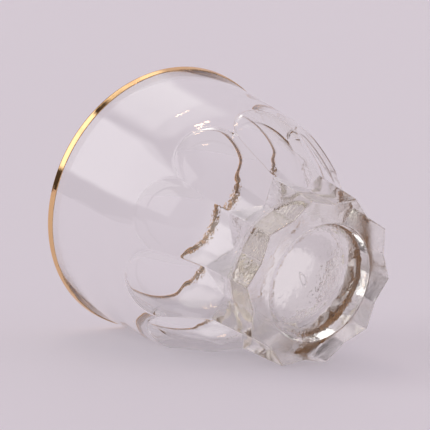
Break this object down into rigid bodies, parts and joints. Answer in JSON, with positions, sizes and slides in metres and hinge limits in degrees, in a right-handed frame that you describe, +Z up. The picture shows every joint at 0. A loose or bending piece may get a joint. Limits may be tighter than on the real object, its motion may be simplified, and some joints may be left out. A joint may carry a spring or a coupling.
{
  "type": "shot glass",
  "caption": "Small pressed clear-glass tumbler for a measure of spirits, with a smooth upper wall, rounded-top flutes below it, a pointed star-shaped foot and a gilded rim.",
  "frame": {"origin": "centre of the plane that the foot stands on", "axes": "+Z up through the mouth, +X through one point of the foot"},
  "size_m": [0.052, 0.052, 0.0497],
  "materials": {
    "clear_glass": "fire-polished clear pressed glass, faintly warm in the thick foot",
    "fired_gold": "bright fired liquid gold, worn a little along the lip"
  },
  "bodies": {
    "root": {"pressed_glass_body": "clear_glass", "gold_rim_band": "fired_gold"}
  },
  "joints": []
}
